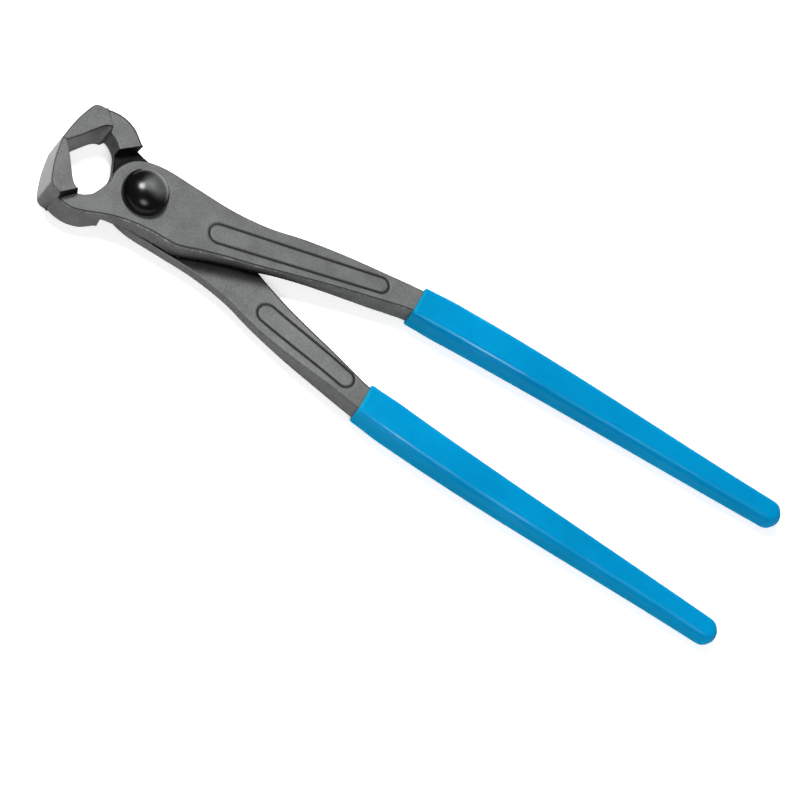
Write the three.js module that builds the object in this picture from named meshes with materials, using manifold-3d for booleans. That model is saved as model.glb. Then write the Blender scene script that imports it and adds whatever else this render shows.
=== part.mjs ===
// Concreters' nippers: two identical forged levers crossing in a half-lap joint, held by one
// domed rivet, with a dipped plastic grip on each handle.
// Millimetres. X runs from the pivot to the handle ends, Y across the handles and Z along the
// pivot. The origin is on the pivot axis, at the flat end of the rivet.
import * as THREE from "three";
import { mergeVertices } from "three/addons/utils/BufferGeometryUtils.js";
import Module from "manifold-3d";

const wasm = await Module();
wasm.setup();

// Clearances
const FIT_GAP = 0.3; // between pieces that seat on or in each other
const CLOSING_GAP = 0.3; // between the two cutting edges of the closed jaws

// Forged bar: lap and shank
const BAR_THICKNESS = 8.5; // along the pivot, from the jaw root to the collar
const EDGE_RADIUS = 0.6; // rounding of the forged edges

// Jaw
const JAW_REACH = 34.3; // pivot to the cutting edge
const JAW_WIDTH = 16; // length of the cutting edge, along the pivot
const EDGE_LAND = 1.7; // flat left on the cutting edge

// Ovals pressed into the shank as a groove: x and y of each end, with its radius
const OVAL_GROOVE_WIDTH = 0.9;
const OVAL_GROOVE_DEPTH = 0.4;
const LONG_OVAL = [[29.3, 2.6, 3.7], [86.2, 19.6, 3]]; // on the face above the lap
const SHORT_OVAL = [[57.5, 11.9, 3.6], [91.3, 19.6, 3.2]]; // on the other face

// Half-lap joint
const LAP_RADIUS = 12.6; // round front end of each lap
const SHOULDER_RADIUS = 18; // round shoulder behind each jaw
const RECESS_START = -8.5; // where the straight part of the recess begins, from the pivot
const RAMP_START = 54; // where the lap floor begins to climb to the full bar
const RAMP_END = 74;

// Handle
const COLLAR_X = 100.8; // edge of the grip
const COLLAR_Y = 22.2; // middle of the handle there
const HANDLE_END_X = 246.5;
const HANDLE_END_Y = 26.65;
const HANDLE_BOW = 1; // outward bow of the handle
const SHANK_WIDTH = 9.5; // steel at the collar, across the handle
const SHANK_SWELL = 0.9; // extra width of the bowed part of the handle
const TANG_END_WIDTH = 5.4; // steel inside the end of the grip
const TANG_END_THICKNESS = 5.2;

// Grip
const GRIP_WALL = 0.9;
const GRIP_TIP = 5.5; // solid plastic past the end of the tang
const GRIP_END_SHARE = 0.6; // size of the blunt end against the full section
const GRIP_EDGE_RADIUS = 1.7;

// Rivet
const RIVET_SHANK_RADIUS = 5;
const RIVET_HEAD_RADIUS = 8.5;
const RIVET_RIM = 1.5; // straight rim under the dome
const RIVET_DOME = 5.4;
const RIVET_TAIL_RADIUS = 6.8;
const RIVET_TAIL = 0.6; // height of the flat end that stands proud of the back lever

// Fineness of the facets
const STEPS_PER_SPAN = 4;
const CORNER_STEPS = 3;
const ROUND_SEGMENTS = 48;
const DOME_STEPS = 8;
const OVAL_END_STEPS = 10;

const HALF_BAR = BAR_THICKNESS / 2;
const HALF_JAW = JAW_WIDTH / 2;
const MIDDLE_Z = HALF_BAR + FIT_GAP + RIVET_TAIL; // plane between the two laps

const polar = (radius, degrees) => {
  const angle = THREE.MathUtils.degToRad(degrees);
  return [radius * Math.cos(angle), radius * Math.sin(angle)];
};

// Solid of a closed geometry, and geometry of a solid
function solidOf(geometry) {
  const bare = geometry.clone();
  bare.deleteAttribute("normal");
  bare.deleteAttribute("uv");
  const merged = mergeVertices(bare, 1e-4);
  const mesh = new wasm.Mesh({
    numProp: 3,
    vertProperties: new Float32Array(merged.attributes.position.array),
    triVerts: new Uint32Array(merged.index.array),
  });
  return new wasm.Manifold(mesh);
}

function geometryOf(solid) {
  const { vertProperties, triVerts } = solid.getMesh();
  const geometry = new THREE.BufferGeometry();
  geometry.setAttribute("position", new THREE.BufferAttribute(vertProperties, 3));
  geometry.setIndex(new THREE.BufferAttribute(triVerts, 1));
  geometry.computeVertexNormals();
  return geometry;
}

// A rounded rectangle standing on the line from one rail to the other, as a ring of points. Its
// outer side leans out towards the lower face by the skirt
function section({ outer, inner, half, skirt, radius }) {
  const across = new THREE.Vector2(inner[0] - outer[0], inner[1] - outer[1]);
  const width = across.length();
  const round = Math.min(radius, 0.45 * width, 0.9 * half);
  across.divideScalar(width);
  const corners = [
    [width - round, half - round],
    [round, half - round],
    [round, round - half],
    [width - round, round - half],
  ];
  return corners.flatMap(([along, height], quarter) =>
    Array.from({ length: CORNER_STEPS }, (_, i) => {
      const angle = (quarter + i / (CORNER_STEPS - 1)) * (Math.PI / 2);
      const z = height + round * Math.sin(angle);
      const level = along + round * Math.cos(angle);
      const a = level - (skirt * (1 - level / width) * (half - z)) / (2 * half);
      return [outer[0] + across.x * a, outer[1] + across.y * a, MIDDLE_Z + z];
    }),
  );
}

// A closed skin over rings of equally many points, with a flat cap at each end
function loft(rings) {
  const count = rings[0].length;
  const index = [];
  for (let i = 0; i + 1 < rings.length; i++)
    for (let j = 0; j < count; j++) {
      const next = (j + 1) % count;
      const [a, b] = [i * count + j, i * count + next];
      index.push(a, b, b + count, a, b + count, a + count);
    }
  const last = (rings.length - 1) * count;
  for (let j = 1; j + 1 < count; j++)
    index.push(0, j + 1, j, last, last + j, last + j + 1);
  const geometry = new THREE.BufferGeometry();
  const positions = new Float32Array(rings.flat(2));
  geometry.setAttribute("position", new THREE.BufferAttribute(positions, 3));
  geometry.setIndex(index);
  return geometry;
}

// Stations between the given ones: the rails follow smooth curves, the other sizes run straight
function between(stations, steps) {
  const curve = (key) =>
    new THREE.CatmullRomCurve3(
      stations.map((s) => new THREE.Vector3(...s[key], 0)),
      false,
      "centripetal",
    );
  const [outer, inner] = [curve("outer"), curve("inner")];
  const spans = stations.length - 1;
  return Array.from({ length: spans * steps + 1 }, (_, i) => {
    const span = Math.min(Math.floor(i / steps), spans - 1);
    const part = i / steps - span;
    const mix = (key) => THREE.MathUtils.lerp(stations[span][key], stations[span + 1][key], part);
    const at = (line) => line.getPoint(i / (spans * steps)).toArray().slice(0, 2);
    return { outer: at(outer), inner: at(inner), half: mix("half"), skirt: mix("skirt"), radius: mix("radius") };
  });
}

// Handle: middle line, width and thickness at a share of the way from the collar to the end
function handleStation(share, extra, radius) {
  const bow = 6.75 * share * (1 - share) ** 2;
  const x = THREE.MathUtils.lerp(COLLAR_X, HANDLE_END_X - GRIP_TIP, share);
  const y = THREE.MathUtils.lerp(COLLAR_Y, HANDLE_END_Y, share) + HANDLE_BOW * bow;
  const width = THREE.MathUtils.lerp(SHANK_WIDTH, TANG_END_WIDTH, share) + SHANK_SWELL * bow;
  const thickness = THREE.MathUtils.lerp(BAR_THICKNESS, TANG_END_THICKNESS, share);
  return {
    outer: [x, y - width / 2 - extra],
    inner: [x, y + width / 2 + extra],
    half: thickness / 2 + extra,
    skirt: 0,
    radius,
  };
}

const TANG_SHARES = [0, 0.1, 0.2, 0.3, 0.4, 0.55, 0.7, 0.85, 1];
const tang = (extra, radius) => TANG_SHARES.map((share) => handleStation(share, extra, radius));

// Lever: the outer side, the mouth side and the skirt of the jaw, the lap and the shank, from the
// cutting edge to the collar
const station = (half) => ([outer, inner, skirt]) => ({ outer, inner, half, skirt, radius: EDGE_RADIUS });
const jawStations = [
  [[-JAW_REACH, -CLOSING_GAP / 2], [EDGE_LAND - JAW_REACH, -CLOSING_GAP / 2], 0],
  [[-33.8, -4.5], [-29.3, -4.4], 0],
  [[-32.8, -9.8], [-26.5, -8.7], 0],
  [[-31.2, -15.2], [-24.2, -12], 0],
  [[-30.1, -17.6], [-23.1, -13.2], 0],
  [[-28.4, -18.7], [-22.2, -13.8], 0],
  [[-25.7, -19.3], [-21, -14.1], 0],
].map(station(HALF_JAW));
const barStations = [
  [[-24.7, -19.9], [-19.7, -13.5], 1.6],
  [[-19.6, -20.2], [-17.6, -12.4], 2.1],
  [[-14.7, -18.6], [-15.3, -10], 2.3],
  [[-9, -15.7], [-13.7, -6.4], 0.9],
  [[-4.5, -13.8], polar(LAP_RADIUS, 190), 2.8],
  [[1, -12.2], polar(LAP_RADIUS, 167), 4.4],
  [[5.5, -11.4], polar(LAP_RADIUS, 144), 5.6],
  [[9.5, -11], polar(LAP_RADIUS, 121), 5.6],
  [[14, -10.9], [-0.6, 13], 5.4],
  [[19, -10.4], [8, 13.4], 5.2],
  [[34.2, -4.5], [28, 13.4], 3],
  [[46, -0.6], [43, 15.3], 1.2],
  [[57, 3.4], [56, 19], 0.2],
  [[70, 8], [70, 22.1], 0],
  [[85, 12.9], [85, 24.6], 0],
].map(station(HALF_BAR));

function leverSolid() {
  const bar = [...jawStations, ...barStations, ...tang(0, EDGE_RADIUS)];
  const body = solidOf(loft(between(bar, STEPS_PER_SPAN).map(section)));
  const bore = new THREE.CylinderGeometry(
    RIVET_SHANK_RADIUS + FIT_GAP,
    RIVET_SHANK_RADIUS + FIT_GAP,
    2 * JAW_WIDTH,
    ROUND_SEGMENTS,
  );
  bore.rotateX(Math.PI / 2);
  bore.translate(0, 0, MIDDLE_Z);
  const recess = lapRecess();
  const belowBar = new THREE.BoxGeometry(4 * COLLAR_X, 4 * COLLAR_X, JAW_WIDTH);
  belowBar.translate(0, 0, MIDDLE_Z - HALF_BAR - HALF_JAW);
  const lowerFace = recess.add(solidOf(belowBar)).translate([0, 0, OVAL_GROOVE_DEPTH]);
  return body
    .subtract(recess)
    .subtract(solidOf(bore))
    .subtract(ovalBand(LONG_OVAL, HALF_BAR - OVAL_GROOVE_DEPTH, HALF_JAW))
    .subtract(ovalBand(SHORT_OVAL, -HALF_JAW, HALF_BAR).intersect(lowerFace));
}

// The band between two outlines of an oval, from one height to another
function ovalBand(ends, low, high) {
  const heading = Math.atan2(ends[1][1] - ends[0][1], ends[1][0] - ends[0][0]);
  const outline = (extra) =>
    ends.flatMap(([x, y, radius], end) =>
      Array.from({ length: OVAL_END_STEPS + 1 }, (_, i) => {
        const angle = heading + Math.PI * (0.5 + end + i / OVAL_END_STEPS);
        const reach = radius + extra;
        return new THREE.Vector2(x + reach * Math.cos(angle), y + reach * Math.sin(angle));
      }),
    );
  const band = new THREE.Shape(outline(OVAL_GROOVE_WIDTH / 2));
  band.holes.push(new THREE.Path(outline(-OVAL_GROOVE_WIDTH / 2)));
  const prism = new THREE.ExtrudeGeometry(band, { depth: high - low, bevelEnabled: false });
  prism.translate(0, 0, MIDDLE_Z + low);
  return solidOf(prism);
}

// Everything under the lap, so that the other lever can lie there and swing: a round recess that
// ends at the shoulder of the jaw, and a straight one that climbs to the full bar of the shank
function lapRecess() {
  const floor = FIT_GAP / 2;
  const depth = JAW_WIDTH;
  const span = 4 * SHOULDER_RADIUS;
  const round = new THREE.CylinderGeometry(SHOULDER_RADIUS, SHOULDER_RADIUS, depth, 2 * ROUND_SEGMENTS);
  round.rotateX(Math.PI / 2);
  round.translate(0, 0, MIDDLE_Z + floor - depth / 2);

  const climb = Array.from({ length: 9 }, (_, i) => i / 8);
  const profile = new THREE.Shape([
    new THREE.Vector2(RECESS_START, floor - depth),
    new THREE.Vector2(RAMP_END, floor - depth),
    ...climb.reverse().map((share) => {
      const rise = (HALF_BAR + 2 * floor) * (0.5 - 0.5 * Math.cos(Math.PI * share));
      return new THREE.Vector2(THREE.MathUtils.lerp(RAMP_START, RAMP_END, share), floor - rise);
    }),
    new THREE.Vector2(RECESS_START, floor),
  ]);
  const straight = new THREE.ExtrudeGeometry(profile, { depth: span, bevelEnabled: false });
  straight.rotateX(Math.PI / 2);
  straight.translate(0, span / 2, MIDDLE_Z);
  return solidOf(round).add(solidOf(straight));
}

function gripSolid() {
  const hollow = tang(FIT_GAP, EDGE_RADIUS);
  const skin = tang(FIT_GAP + GRIP_WALL, GRIP_EDGE_RADIUS);
  const end = skin.at(-1);
  const middle = (end.outer[1] + end.inner[1]) / 2;
  const tip = [0.35, 0.65, 0.88, 1].map((share) => {
    const size = 1 - (1 - GRIP_END_SHARE) * share ** 3;
    const halfWidth = (size * (end.inner[1] - end.outer[1])) / 2;
    const x = HANDLE_END_X - GRIP_TIP * (1 - share);
    return { ...end, outer: [x, middle - halfWidth], inner: [x, middle + halfWidth], half: size * end.half };
  });
  const mouth = { ...hollow[0] };
  mouth.outer = [COLLAR_X - 1, hollow[0].outer[1]];
  mouth.inner = [COLLAR_X - 1, hollow[0].inner[1]];
  const outside = solidOf(loft([...skin, ...tip].map(section)));
  const inside = solidOf(loft([mouth, ...hollow].map(section)));
  return outside.subtract(inside);
}

function rivetGeometry() {
  const headZ = MIDDLE_Z + HALF_BAR + FIT_GAP;
  const dome = Array.from({ length: DOME_STEPS + 1 }, (_, i) => {
    const angle = (i / DOME_STEPS) * (Math.PI / 2);
    return [RIVET_HEAD_RADIUS * Math.cos(angle), headZ + RIVET_RIM + RIVET_DOME * Math.sin(angle)];
  });
  const profile = [
    [0, 0],
    [RIVET_TAIL_RADIUS - RIVET_TAIL / 2, 0],
    [RIVET_TAIL_RADIUS, RIVET_TAIL / 2],
    [RIVET_TAIL_RADIUS, RIVET_TAIL],
    [RIVET_SHANK_RADIUS, RIVET_TAIL],
    [RIVET_SHANK_RADIUS, headZ],
    [RIVET_HEAD_RADIUS, headZ],
    ...dome,
  ].map(([r, z]) => new THREE.Vector2(Math.max(r, 0), z));
  profile[profile.length - 1].x = 0;
  const geometry = new THREE.LatheGeometry(profile, ROUND_SEGMENTS);
  geometry.rotateX(Math.PI / 2);
  return geometry;
}

const steel = () => new THREE.MeshStandardMaterial({ color: 0x6b6f6c, roughness: 0.55, metalness: 0.75 });
const blackSteel = () => new THREE.MeshStandardMaterial({ color: 0x2a2d2c, roughness: 0.2, metalness: 0.8 });
const plastic = () => new THREE.MeshStandardMaterial({ color: 0x0a93cf, roughness: 0.3, metalness: 0 });

function piece(name, geometry, material) {
  const mesh = new THREE.Mesh(geometry, material);
  mesh.name = name;
  return mesh;
}

const leverGeometry = geometryOf(leverSolid());
const gripGeometry = geometryOf(gripSolid());

const front = new THREE.Group();
front.add(piece("front_lever", leverGeometry, steel()), piece("front_grip", gripGeometry, plastic()));

// The back half is the same forging turned over about the long axis
const back = new THREE.Group();
back.add(piece("back_lever", leverGeometry, steel()), piece("back_grip", gripGeometry, plastic()));
back.rotation.x = Math.PI;
back.position.z = 2 * MIDDLE_Z;

const nippers = new THREE.Group();
nippers.add(front, back, piece("pivot_rivet", rivetGeometry(), blackSteel()));

export default nippers;
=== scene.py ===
import bpy
import numpy as np
from mathutils import Matrix, Vector


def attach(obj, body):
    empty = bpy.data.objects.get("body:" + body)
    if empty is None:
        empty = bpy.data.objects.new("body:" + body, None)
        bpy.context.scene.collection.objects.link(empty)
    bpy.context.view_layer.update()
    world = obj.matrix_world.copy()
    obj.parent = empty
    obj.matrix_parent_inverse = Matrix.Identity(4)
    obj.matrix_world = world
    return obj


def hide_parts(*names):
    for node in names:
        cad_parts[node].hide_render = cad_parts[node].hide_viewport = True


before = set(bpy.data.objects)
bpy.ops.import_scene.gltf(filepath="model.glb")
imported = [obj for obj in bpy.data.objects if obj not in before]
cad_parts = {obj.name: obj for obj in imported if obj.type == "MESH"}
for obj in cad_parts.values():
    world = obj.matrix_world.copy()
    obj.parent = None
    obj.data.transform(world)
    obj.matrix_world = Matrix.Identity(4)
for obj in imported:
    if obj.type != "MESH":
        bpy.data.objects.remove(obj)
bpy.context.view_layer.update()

# Levers: two steel forgings of one shape, the back one turned over under the front one. Each runs from
# the wide cutting jaw through a half lap round the rivet to the tang inside its grip. They are blasted
# and coated dark grey, and the front of each jaw is ground bright.
# Millimetres along X from the pivot to the handle ends, Y across the handles and Z along the pivot.
joint_plane = 5.15
bar_half = 4.25
jaw_half = 8.0
jaw_edge_radius, bar_edge_radius = 0.3, 0.7
lap_floor = 0.15
lap_radius = 12.6
ramp_start, ramp_end, ramp_softness = 51.0, 95.0, 0.06
collar_x, collar_y, collar_width = 100.8, 22.2, 9.5
handle_end_x, handle_end_y, handle_end_width, handle_end_thick = 241.0, 26.65, 5.4, 5.2


def on_lap(degrees):
    """Point of the round front end of the lap: the lap radius turned by an angle about the pivot."""
    angle = np.radians(degrees)
    return lap_radius * np.cos(angle), lap_radius * np.sin(angle)


# One row for each cross line of the forging, from the cutting edge to the collar: X and Y on the outer
# side, X and Y on the mouth side, and how far the outer side leans out over the full bar.
lever_rails = np.array([
    (-34.3, -0.15, -32.6, -0.15, 0.0),
    (-33.8, -4.5, -29.3, -4.4, 0.0),
    (-32.8, -9.8, -26.5, -8.7, 0.0),
    (-31.2, -15.2, -24.2, -12.0, 0.0),
    (-30.4, -17.1, -23.3, -13.0, 0.0),
    (-29.8, -17.9, -22.85, -13.4, 0.0),
    (-28.4, -18.7, -22.2, -13.8, 0.0),
    (-25.7, -19.3, -21.0, -14.1, 0.0),
    (-24.8, -19.8, -19.8, -13.55, 1.5),
    (-19.6, -20.2, -18.1, -12.75, 2.1),
    (-14.7, -18.6, -16.5, -11.5, 2.3),
    (-8.9, -15.65, -15.1, -9.85, 0.9),
    (-4.5, -13.8, -13.5, -6.0, 2.8),
    (1.0, -12.2, *on_lap(190), 4.4),
    (5.5, -11.4, *on_lap(167), 5.6),
    (9.5, -11.0, *on_lap(142), 5.6),
    (14.0, -10.9, *on_lap(117), 5.4),
    (19.0, -10.4, 1.5, 13.25, 5.2),
    (26.0, -7.6, 15.0, 13.4, 4.2),
    (34.2, -4.5, 29.0, 13.45, 3.0),
    (46.0, -0.6, 43.0, 15.3, 1.2),
    (57.0, 3.4, 56.0, 19.0, 0.2),
    (70.0, 8.0, 70.0, 22.1, 0.0),
    (85.0, 12.9, 85.0, 24.6, 0.0),
    (collar_x, collar_y - collar_width / 2, collar_x, collar_y + collar_width / 2, 0.0),
])
jaw_corner_row, riser_row, shoulder_row = 4.5, 7, 11
crossing_row, crossing_end_row = 16, 22
collar_row = len(lever_rails) - 1


def through_rows(table, at):
    """Cubic Hermite curve through the rows of a table. The knots are spaced by the square root of the
    two rails' chords together, and each row's slope mixes the slopes of the spans on its two sides."""
    chord = np.hypot(*np.diff(table[:, :2], axis=0).T) + np.hypot(*np.diff(table[:, 2:4], axis=0).T)
    gap = np.sqrt(chord)[:, None]
    span_slope = np.diff(table, axis=0) / gap
    inner = (span_slope[:-1] * gap[1:] + span_slope[1:] * gap[:-1]) / (gap[:-1] + gap[1:])
    slope = np.vstack([span_slope[:1], inner, span_slope[-1:]])
    row = np.minimum(at.astype(int), len(table) - 2)
    t = (at - row)[:, None]
    width = gap[row]
    rise = (3 - 2 * t) * t * t
    return ((1 - rise) * table[row] + rise * table[row + 1]
            + width * t * (1 - t) * ((1 - t) * slope[row] - t * slope[row + 1]))


def ease(x):
    """Smooth step from 0 to 1: half a cosine wave between the two ends."""
    return 0.5 - 0.5 * np.cos(np.pi * np.clip(x, 0, 1))


def handle_rows(share, extra):
    """Rails and half thickness of the handle at shares of its length: the middle line and the width run
    straight from collar to end, and both gain a bow of s(1-s)^2 that is highest at a third."""
    bow = 6.75 * share * (1 - share) ** 2
    x = collar_x + share * (handle_end_x - collar_x)
    middle = collar_y + share * (handle_end_y - collar_y) + bow
    half_width = (collar_width + share * (handle_end_width - collar_width) + 0.9 * bow) / 2 + extra
    half_thick = (2 * bar_half + share * (handle_end_thick - 2 * bar_half)) / 2 + extra
    return x, middle, half_width, half_thick


tang_share = np.linspace(0, 1, 10)[1:]
tang_x, tang_middle, tang_half, tang_thick = handle_rows(tang_share, 0.0)
tang_rails = np.column_stack([tang_x, tang_middle - tang_half, tang_x, tang_middle + tang_half,
                              np.zeros_like(tang_x)])
all_rails = np.vstack([lever_rails, tang_rails])

# Stations along the forging, counted in rows: closer where it curves, with a step at the lap's shoulder.
steps_per_span = [10, 10, 10, 8, 6, 6, 8, 14, 14, 12, 12, 12,
                  10, 10, 10, 10, 12, 16, 22, 34, 32, 38, 42, 44]
stations = np.concatenate(
    [row + np.arange(count) / count for row, count in enumerate(steps_per_span)]
    + [collar_row + np.arange(0, 9, 0.34), [len(all_rails) - 1.0]])
just_past = [shoulder_row + step for step in (0.002, 0.012)]
stations = np.unique(np.concatenate([stations, just_past]))
swept = through_rows(all_rails, stations)
outer, mouth, skirt = swept[:, 0:2], swept[:, 2:4], swept[:, 4]
middle_x = (outer[:, 0] + mouth[:, 0]) / 2

past_riser = ease(stations - riser_row)
bar_here = np.interp(stations, collar_row + np.arange(10), np.r_[bar_half, tang_thick])
top = jaw_half + (bar_here - jaw_half) * past_riser
climb = np.clip((middle_x - ramp_start) / (ramp_end - ramp_start), 0, 1)
climb = climb - ramp_softness * np.sin(2 * np.pi * climb)
lap_under = lap_floor - (bar_half + lap_floor) * climb
lap_under = np.where(stations > collar_row, -bar_here, lap_under)
under = np.where(stations > shoulder_row + 0.001, lap_under, -top)
edge_radius = np.where(stations < riser_row, jaw_edge_radius, bar_edge_radius)

# A ring round the lever: the two faces in fine steps, the two sides, and a quarter round at each edge.
face_steps, side_steps, round_steps = 56, 8, 5
quarter = np.linspace(0, np.pi / 2, round_steps)
face = np.linspace(0, 1, face_steps + 2)[1:-1]
side = np.linspace(0, 1, side_steps + 2)[1:-1]
flat, still = np.zeros(face_steps), np.zeros(side_steps)
whole = np.ones(round_steps)
ring_across = np.concatenate([whole, 1 - face, 0 * whole, 0 * side, 0 * whole, face, whole, still + 1])
ring_out = np.concatenate([np.cos(quarter), flat, -np.sin(quarter), still - 1, -np.cos(quarter), flat,
                           np.sin(quarter), still + 1])
ring_up = np.concatenate([np.sin(quarter), flat + 1, np.cos(quarter), still, -np.sin(quarter), flat - 1,
                          -np.cos(quarter), still])
ring_high = np.concatenate([whole, flat + 1, whole, 1 - side, 0 * whole, flat, 0 * whole, side])
ring_side = (ring_across == 0) & (ring_out == -1)
ring_mouth = (ring_across == 1) & (ring_out == 1)
ring_top = ring_up == 1
ring_under = ring_up == -1

# A long narrow oval groove is pressed into each face: two end centres and the radius at each end.
long_oval = ((29.3, 2.6), (86.2, 19.6), 3.7, 3.0)
short_oval = ((57.5, 11.9), (91.3, 19.6), 3.6, 3.2)
# The last width is the spread of the painted shade along the grooves.
groove_depth, groove_width, groove_shade_width = 0.32, 0.42, 0.45


def oval_rim(x, y, start, end, start_radius, end_radius):
    """Distance from the outline of a tapered oval: how far a point is from the line between the two end
    centres, less the radius at the nearest place on that line."""
    dx, dy = end[0] - start[0], end[1] - start[1]
    along = np.clip(((x - start[0]) * dx + (y - start[1]) * dy) / (dx * dx + dy * dy), 0, 1)
    away = np.hypot(x - start[0] - along * dx, y - start[1] - along * dy)
    return away - (start_radius + along * (end_radius - start_radius))


def lever_surface():
    """Rounded bar swept from the cutting edge to the tang: each ring stands on the line between the outer
    rail and the mouth rail, its outer side leans out by the skirt, and an oval groove is pressed into
    each face."""
    across = mouth - outer
    width = np.hypot(*across.T)[:, None]
    across = across / width
    high, low = top[:, None], under[:, None]
    radius = np.minimum(edge_radius[:, None], 0.3 * (high - low))
    reach = radius + ring_across * (width - 2 * radius) + radius * ring_out
    z = low + radius + ring_high * (high - low - 2 * radius) + radius * ring_up
    lean = skirt[:, None] * (1 - reach / width) * (high - z) / (2 * bar_half)
    x = outer[:, :1] + across[:, :1] * (reach - lean)
    y = outer[:, 1:] + across[:, 1:] * (reach - lean)
    z = z - ring_top * groove_depth * np.exp(-(oval_rim(x, y, *long_oval) / groove_width) ** 2)
    z = z + ring_under * groove_depth * np.exp(-(oval_rim(x, y, *short_oval) / groove_width) ** 2)
    return np.stack([x, y, z], axis=-1)


def closed_tube(grid):
    """Vertices and faces of a grid of rings: quads between neighbouring rings, and a fan from the middle of
    the first and of the last ring."""
    rings, points = grid.shape[:2]
    verts = np.vstack([grid.reshape(-1, 3), grid[0].mean(axis=0), grid[-1].mean(axis=0)])
    start = np.arange(rings * points).reshape(rings, points)
    following = np.roll(start, -1, axis=1)
    quads = np.stack([start[:-1], following[:-1], following[1:], start[1:]], axis=-1).reshape(-1, 4)
    first = np.stack([following[0], start[0], np.full(points, rings * points)], axis=-1)
    last = np.stack([start[-1], following[-1], np.full(points, rings * points + 1)], axis=-1)
    return verts, quads, np.vstack([first, last])


def new_piece(name, verts, quads, tris, sharp_degrees, **marks):
    """Mesh object of millimetre vertices with smooth faces, edges sharper than an angle kept sharp, and one
    number per vertex for each named mark."""
    mesh = bpy.data.meshes.new(name)
    mesh.from_pydata((verts * 0.001).tolist(), [], quads.tolist() + tris.tolist())
    mesh.polygons.foreach_set("use_smooth", np.ones(len(mesh.polygons), dtype=bool))
    mesh.set_sharp_from_angle(angle=np.radians(sharp_degrees))
    for mark, values in marks.items():
        mesh.attributes.new(mark, "FLOAT", "POINT").data.foreach_set("value", values.astype(np.float32))
    mesh.update()
    piece = bpy.data.objects.new(name, mesh)
    bpy.context.scene.collection.objects.link(piece)
    return piece


class Wire:
    """A shader socket with arithmetic: an expression on wires and numbers adds the Math nodes for it."""

    def __init__(self, tree, socket):
        self.tree, self.socket = tree, socket

    def node(self, kind, settings=None, out=0, **inputs):
        """New node of a type with its settings, its sockets set or linked, and one output as a wire."""
        made = self.tree.nodes.new(kind)
        for key, value in (settings or {}).items():
            setattr(made, key, value)
        for key, value in inputs.items():
            found = made.inputs[int(key[1:])] if key[1:].isdigit() else made.inputs[key.replace("_", " ")]
            if isinstance(value, Wire):
                self.tree.links.new(value.socket, found)
            else:
                found.default_value = value
        return Wire(self.tree, made.outputs[out])

    def math(self, operation, a, b=0.0):
        return self.node("ShaderNodeMath", {"operation": operation}, i0=a, i1=b)

    def __add__(self, other):
        return self.math("ADD", self, other)

    def __sub__(self, other):
        return self.math("SUBTRACT", self, other)

    def __rsub__(self, other):
        return self.math("SUBTRACT", other, self)

    def __mul__(self, other):
        return self.math("MULTIPLY", self, other)

    __radd__, __rmul__ = __add__, __mul__

    def between(self, low, high):
        """0 below low, 1 above high, and a smooth step between them."""
        settings = {"interpolation_type": "SMOOTHSTEP"}
        return self.node("ShaderNodeMapRange", settings, Value=self, From_Min=low, From_Max=high)

    def blend(self, a, b):
        """Colour a where this wire is 0 and colour b where it is 1."""
        return self.node("ShaderNodeMix", {"data_type": "RGBA"}, out=2, i0=self, i6=a, i7=b)


def new_finish(name, **constants):
    """Material with one Principled shader whose plain values are set on its own sockets. Gives the material,
    a wire to start from and a function that links a varying value to a socket of the shader."""
    material = bpy.data.materials.new(name)
    material.use_nodes = True
    shader = material.node_tree.nodes["Principled BSDF"]
    for key, value in constants.items():
        shader.inputs[key.replace("_", " ")].default_value = value
    place = Wire(material.node_tree, None).node("ShaderNodeTexCoord", out=3)

    def feed(socket, wire):
        material.node_tree.links.new(wire.socket, shader.inputs[socket])
    return material, place, feed


def grey(level):
    """Neutral grey with a faint green cast, as a linear colour."""
    return (level, level * 1.045, level * 1.01, 1.0)


forged, place, feed = new_finish("coated_forged_steel", Specular_IOR_Level=0.45)
grain = place.node("ShaderNodeTexNoise", Vector=place, Scale=1500.0, Detail=3.0, Roughness=0.7)
mottle = place.node("ShaderNodeTexNoise", Vector=place, Scale=140.0, Detail=4.0, Roughness=0.6)
chips = place.node("ShaderNodeTexNoise", Vector=place, Scale=520.0, Detail=2.0)
ground = place.node("ShaderNodeAttribute", {"attribute_name": "ground"}, out=2)
worn = place.node("ShaderNodeAttribute", {"attribute_name": "edge"}, out=2)
painted_shade = place.node("ShaderNodeAttribute", {"attribute_name": "dark"}, out=2)
stretched = place.node("ShaderNodeMapping", Vector=place, Scale=(5200.0, 5200.0, 260.0))
scratches = place.node("ShaderNodeTexNoise", Vector=stretched, Scale=1.0, Detail=2.0)
coat = (mottle * 0.45 + grain * 0.55).between(0.34, 0.66).blend(grey(0.07), grey(0.122))
# Painted shade: where the dark mark is, the coat colour turns near black, with more metal and more
# roughness.
coat = (painted_shade * (0.8 + mottle * 0.3)).blend(coat, grey(0.006))
bright = scratches.between(0.3, 0.7).blend((0.20, 0.194, 0.19, 1.0), (0.30, 0.292, 0.286, 1.0))
wear = worn * chips.between(0.5, 0.66) * 0.5
feed("Base Color", ground.blend(wear.blend(coat, grey(0.24)), bright))
feed("Metallic", 0.35 + painted_shade * 0.6)
feed("Roughness", 0.52 + mottle * 0.12 - wear * 0.15 - ground * 0.16 + painted_shade * 0.1)
height = grain * 0.6 + mottle * 0.4
feed("Normal", place.node("ShaderNodeBump", Strength=0.22, Distance=0.0002, Height=height))

lever_grid = lever_surface()
lever_verts, lever_quads, lever_tris = closed_tube(lever_grid)
lever_verts = lever_verts + (0, 0, joint_plane)
lever_x, lever_y = lever_grid[..., 0], lever_grid[..., 1]
station = stations[:, None]
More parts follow.
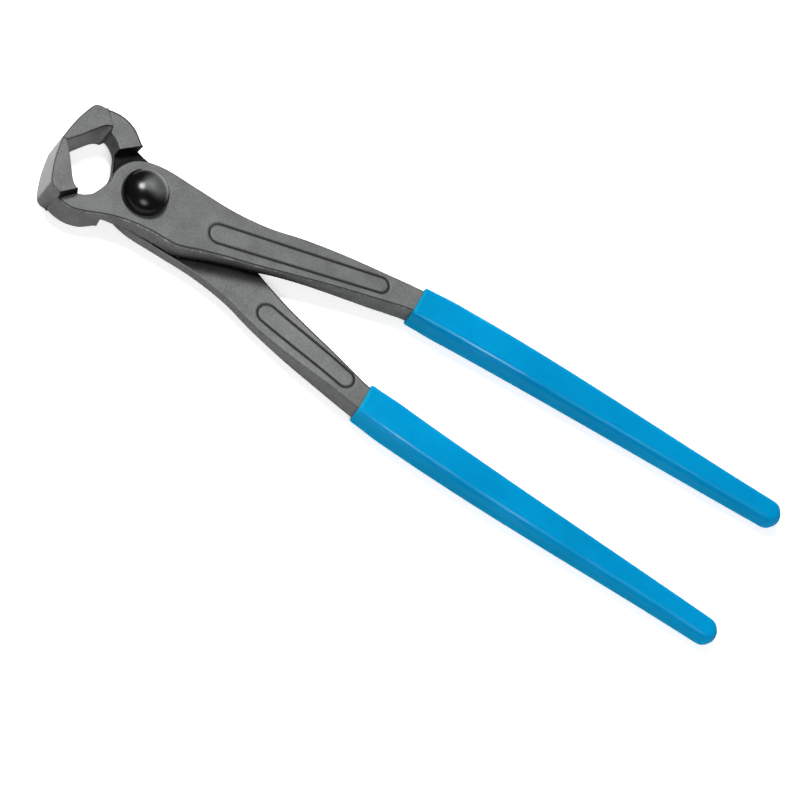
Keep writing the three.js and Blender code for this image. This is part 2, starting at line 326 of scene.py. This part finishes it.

# Marks for the finish: jaws ground in front and smoother in the mouth, edges rubbed, and painted shade, a
# dark mark, in the grooves, along the edges, under the jaw, round the rivet and low on the side where the
# levers cross, with a painted shadow beside the edge of the other lever.
jaw_front = np.clip((jaw_corner_row + 0.05 - station) / 0.1, 0, 1) * np.clip((station - 0.02) / 0.02, 0, 1)
in_jaw = station < riser_row + 1
on_steel = station < collar_row
low_round, high_round = quarter < 0.5, (quarter > 0.7) & (quarter < 1.4)
side_line = np.concatenate([0 * whole, flat, high_round, still, high_round[::-1], flat, 0 * whole, still])
# Painted shade: dark lines where each face meets the outer edge round, and on the mouth-side edge rounds of
# the jaws.
face_line = np.concatenate([0 * whole, flat, low_round, still, low_round[::-1], flat, 0 * whole, still])
mouth_line = np.concatenate([quarter < 1, flat, 0 * whole, still, 0 * whole, flat, quarter > 0.57, still])
# Painted shade: the colour is darkened along each oval groove.
groove_shade = (ring_top * np.exp(-(oval_rim(lever_x, lever_y, *long_oval) / groove_shade_width) ** 2)
           + ring_under * np.exp(-(oval_rim(lever_x, lever_y, *short_oval) / groove_shade_width) ** 2))
# Painted shade on the lap faces round the rivet, within this radius; the width is that of the painted shadow
# beside the other lever.
lap_shade_radius, crossing_shadow_width = np.where(lever_y < 0, 20.0, 11.0), 4.4
on_lap_side = (station > shoulder_row - 0.001) * (ring_up < 0)
shade_round_rivet = on_lap_side * (np.hypot(lever_x, lever_y) < lap_shade_radius)
# Painted shade on the step down behind each jaw block.
shade_under_jaw = ((station > riser_row - 0.08) & (station < riser_row + 0.9)) * (ring_side == 0)
# Painted shadow: the other lever's outer edge, mirrored, and the distance to it darken this lever's face
# next to it.
crossing = (stations > crossing_row) & (stations < crossing_end_row)
mate_x, mate_y = outer[crossing, 0], 0.5 * skirt[crossing] - outer[crossing, 1]
beside = np.hypot(lever_x[..., None] - mate_x, lever_y[..., None] - mate_y).min(axis=-1)
crossing_fade = np.clip((station - crossing_row + 1) / 2, 0, 1)
crossing_fade = crossing_fade * np.clip((crossing_end_row + 1 - station) / 2, 0, 1)
# Painted shade on the lower part of the outer side where the levers cross, fading in and out along the
# crossing.
flank_shade = crossing_fade * (ring_across == 0) * (ring_out < 0) * (1 - ring_high) ** 1.5
lever_marks = {
    "ground": jaw_front * ring_side + 0.4 * in_jaw * ring_mouth,
    "edge": on_steel * side_line,
    # The dark mark adds up the painted shade and the painted shadow above.
    "dark": (groove_shade + shade_round_rivet + shade_under_jaw + ring_under * np.exp(-(beside / crossing_shadow_width) ** 4)
             + flank_shade + on_steel * 0.8 * face_line + in_jaw * 0.9 * mouth_line),
}
lever_marks = {mark: np.r_[np.clip(values, 0, 1).ravel(), 0, 0] for mark, values in lever_marks.items()}
turned_over = lever_verts * (1, -1, -1) + (0, 0, 2 * joint_plane)
for name, verts, body in (("front_forging", lever_verts, "front_half"),
                          ("back_forging", turned_over, "back_half")):
    lever = new_piece(name, verts, lever_quads, lever_tris, 32, **lever_marks)
    lever.data.materials.append(forged)
    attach(lever, body)
    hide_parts(name.replace("forging", "lever"))

# Rivet: one turned steel pin through both laps, with a high polished dome on the front and a low flat
# end, hammered over, on the back. It stays with the front lever.
rivet_rim, shank_radius, tail_rim = 8.5, 5.0, 6.8
foot_radius, tail_radius, tail_height = 0.35, 0.5, 0.9
dome_base, dome_height = 1.5, 5.55
head_seat = joint_plane + bar_half + 0.02
dome_angle = np.linspace(0.05, np.pi / 2, 40)
dome = np.column_stack([rivet_rim * np.cos(dome_angle) ** 0.9,
                        head_seat + dome_base + dome_height * np.sin(dome_angle)])
foot_angle = np.linspace(0, np.pi / 2, 6)
foot = np.column_stack([rivet_rim - foot_radius + foot_radius * np.sin(foot_angle),
                        head_seat + foot_radius - foot_radius * np.cos(foot_angle)])
tail_angle = np.linspace(0, np.pi / 2, 8)
tail = np.column_stack([tail_rim - tail_radius + tail_radius * np.sin(tail_angle),
                        tail_radius - tail_radius * np.cos(tail_angle)])
shank = [(tail_rim, tail_height), (shank_radius, tail_height), (shank_radius, head_seat), (7.0, head_seat)]
crown_ring = [(0.25, head_seat + dome_base + dome_height)]
rivet_profile = np.vstack([[(0.4, 0.0), (3.0, 0.0)], tail, shank, foot, dome[:-1], crown_ring])


def lathe(profile, turns):
    """Profile of radius and height carried round the Z axis in equal turns."""
    angle = np.linspace(0, 2 * np.pi, turns, endpoint=False)
    radius, z = profile[:, :1], profile[:, 1:]
    return np.stack([radius * np.cos(angle), radius * np.sin(angle), z + 0 * angle], axis=-1)


polished, place, feed = new_finish("dark_polished_steel", Metallic=0.85, Specular_IOR_Level=0.5)
haze = place.node("ShaderNodeTexNoise", Vector=place, Scale=240.0, Detail=4.0, Roughness=0.65)
pits = place.node("ShaderNodeTexNoise", Vector=place, Scale=2400.0, Detail=2.0)
# Painted reflection: a lighter grey patch on the dome, off its top, with rougher gloss there.
reflection_spot = (0.0022, 0.0025, 0.0145)
from_spot = place.node("ShaderNodeVectorMath", {"operation": "DISTANCE"}, out=1, i0=place, i1=reflection_spot)
painted_reflection = (from_spot + haze * 0.002).between(0.0075, 0.0035)
feed("Base Color", painted_reflection.blend(grey(0.012), grey(0.22)))
feed("Roughness", 0.17 + haze * 0.1 + painted_reflection * 0.12)
feed("Normal", place.node("ShaderNodeBump", Strength=0.08, Distance=0.0001, Height=pits))
rivet = new_piece("domed_rivet", *closed_tube(lathe(rivet_profile, 96)), 35)
rivet.data.materials.append(polished)
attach(rivet, "front_half")
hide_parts("pivot_rivet")

# Grips: each handle is dipped in soft plastic, which sets as one thin glossy sleeve with a rounded rim at
# the collar and a rounded nose. The sleeves have no seam.
grip_wall, grip_swell = 1.2, 0.5
bore_gap, rim_bulge = 0.06, 0.55
bore_corner, collar_corner, skin_corner = 0.5, 1.6, 2.6
nose_length = 5.5
bore_share = np.linspace(0.985, 0.0, 30)
skin_share = np.concatenate([np.linspace(0.004, 0.05, 14), np.linspace(0.06, 1.0, 110)])
lip = np.linspace(0, np.pi, 9)[1:-1]
tip = np.linspace(0, 1, 22)[1:] ** 0.8
tip_size = (1 - tip ** 2.6) ** 0.56
turn_points, run_points = 9, 8


def grip_surface():
    """Sleeve over the tang: rings inside the bore from its end to the collar, half a turn round the rim,
    rings along the skin, and shrinking rings over the nose. Each ring is a rounded rectangle."""
    share = np.concatenate([bore_share, 0 * lip, skin_share, np.ones_like(tip)])
    wall = np.concatenate([0 * bore_share + bore_gap,
                           grip_wall / 2 - (grip_wall / 2 - bore_gap) * np.cos(lip),
                           grip_wall + grip_swell * ease(skin_share / 0.1),
                           grip_wall + grip_swell + 0 * tip])
    x, middle, half_width, half_thick = handle_rows(share, wall)
    x = x + np.concatenate([0 * bore_share, -rim_bulge * np.sin(lip), 0 * skin_share, nose_length * tip])
    size = np.concatenate([np.ones(len(share) - len(tip)), tip_size])
    half_width, half_thick = half_width * size, half_thick * size
    in_bore = np.arange(len(share)) < len(bore_share)
    corner = collar_corner + (skin_corner - collar_corner) * ease(share / 0.12)
    corner = np.where(in_bore, bore_corner, corner)
    corner = np.minimum(corner, 0.92 * np.minimum(half_width, half_thick))[:, None]
    turn = np.linspace(0, np.pi / 2, turn_points)
    run = np.linspace(1, -1, run_points + 2)[1:-1]
    bend, flat_run = np.ones(turn_points), np.ones(run_points)
    along_y = np.concatenate([bend, run, -bend, -flat_run, -bend, -run, bend, flat_run])
    along_z = np.concatenate([bend, flat_run, bend, run, -bend, -flat_run, -bend, -run])
    out_y = np.concatenate([np.cos(turn), 0 * run, -np.sin(turn), -flat_run,
                            -np.cos(turn), 0 * run, np.sin(turn), flat_run])
    out_z = np.concatenate([np.sin(turn), flat_run, np.cos(turn), 0 * run,
                            -np.sin(turn), -flat_run, -np.cos(turn), 0 * run])
    y = middle[:, None] + along_y * (half_width[:, None] - corner) + out_y * corner
    z = joint_plane + along_z * (half_thick[:, None] - corner) + out_z * corner
    return np.stack([x[:, None] + 0 * y, y, z], axis=-1)


plastic, place, feed = new_finish(
    "dipped_blue_plastic", Specular_IOR_Level=0.02, Coat_Roughness=0.08,
    Subsurface_Weight=0.9, Subsurface_Radius=(0.2, 0.7, 1.0), Subsurface_Scale=0.006)
rubbed = place.node("ShaderNodeAttribute", {"attribute_name": "rubbed"}, out=2)
ripple = place.node("ShaderNodeTexNoise", Vector=place, Scale=70.0, Detail=2.0)
cloud = place.node("ShaderNodeTexNoise", Vector=place, Scale=26.0, Detail=3.0)
pores = place.node("ShaderNodeTexNoise", Vector=place, Scale=900.0, Detail=2.0)
feed("Base Color", cloud.between(0.3, 0.7).blend(
    (0.0, 0.205, 0.41, 1.0), (0.0, 0.24, 0.48, 1.0)))
feed("Roughness", 0.27 + ripple * 0.12)
sheen = cloud.between(0.35, 0.65) * ripple.between(0.3, 0.6)
feed("Coat Weight", 0.005 + rubbed * sheen * 0.5)
height = ripple * 0.8 + pores * 0.08
feed("Normal", place.node("ShaderNodeBump", Strength=0.12, Distance=0.0004, Height=height))
grip_grid = grip_surface()
grip_verts, grip_quads, grip_tris = closed_tube(grip_grid)
corner_gloss = np.tile(np.r_[np.sin(np.linspace(0, np.pi, turn_points)), np.zeros(run_points)], 4)
worn_share = 1 - 0.75 * ease((grip_grid[..., 0] - 130.0) / 90.0)
rubbed_edges = np.r_[(corner_gloss * worn_share).ravel(), 0, 0]
turned_grip = grip_verts * (1, -1, -1) + (0, 0, 2 * joint_plane)
for name, verts, body in (("front_sleeve", grip_verts, "front_half"),
                          ("back_sleeve", turned_grip, "back_half")):
    grip = new_piece(name, verts, grip_quads, grip_tris, 40, rubbed=rubbed_edges)
    grip.data.materials.append(plastic)
    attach(grip, body)
    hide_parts(name.replace("sleeve", "grip"))

# Studio: a pale floor under the jaws and the handle ends, a large soft lamp above the left, a weaker one
# from the handle side, and a camera that looks down steeply and is rolled as in the photograph. Metres.
floor_mesh = bpy.data.meshes.new("floor")
grip_end_half, jaw_to_end = 4.4, 270.0
slope = (jaw_half - grip_end_half) / jaw_to_end
low_edge = (joint_plane - jaw_half) * 0.001
jaw_rest_x = -0.021
floor_square = ((-4, -4), (4, -4), (4, 4), (-4, 4))
floor_corners = [(x, y, low_edge + slope * (x - jaw_rest_x)) for x, y in floor_square]
floor_mesh.from_pydata(floor_corners, [], [(0, 1, 2, 3)])
floor = bpy.data.objects.new("floor", floor_mesh)
bpy.context.scene.collection.objects.link(floor)
pale, place, feed = new_finish("pale_floor", Base_Color=(0.8, 0.8, 0.8, 1.0), Roughness=0.9,
                               Specular_IOR_Level=0.1, Emission_Strength=0.55)
seen = place.node("ShaderNodeLightPath")
feed("Emission Color", seen.blend((0.0, 0.0, 0.0, 1.0), (1.0, 1.0, 1.0, 1.0)))
floor.data.materials.append(pale)

world = bpy.data.worlds.new("studio")
world.use_nodes = True
world.node_tree.nodes["Background"].inputs["Color"].default_value = (1.0, 1.0, 1.0, 1.0)
world.node_tree.nodes["Background"].inputs["Strength"].default_value = 0.16
bpy.context.scene.world = world

aim = Vector((0.1117, -0.0134, joint_plane * 0.001))
for name, place_at, size, power in (("key", (-0.4, 0.4, 1.3), 0.4, 25.0),
                                    ("fill", (0.3, -0.85, 1.0), 0.6, 8.6)):
    lamp = bpy.data.lights.new(name, "AREA")
    lamp.shape = "DISK"
    lamp.size = size
    lamp.energy = power
    lamp_object = bpy.data.objects.new(name, lamp)
    lamp_object.location = place_at
    lamp_object.rotation_euler = (aim - Vector(place_at)).to_track_quat("-Z", "Y").to_euler()
    bpy.context.scene.collection.objects.link(lamp_object)

# A very long lens from far off, because the photograph shows almost no perspective.
camera_distance = 8.0
camera = bpy.data.cameras.new("camera")
camera.lens = 1051.0
camera.sensor_width = 36.0
camera.clip_end = 100.0
camera_object = bpy.data.objects.new("camera", camera)
right = Vector((0.844, 0.4167, 0.3373))
up = Vector((-0.529, 0.7488, 0.3991))
back = Vector((-0.0863, -0.5152, 0.8524))
turn = Matrix((right, up, back)).transposed().to_4x4()
camera_object.matrix_world = Matrix.Translation(aim + camera_distance * back) @ turn
bpy.context.scene.collection.objects.link(camera_object)
bpy.context.scene.camera = camera_object
bpy.context.scene.view_settings.view_transform = "Standard"
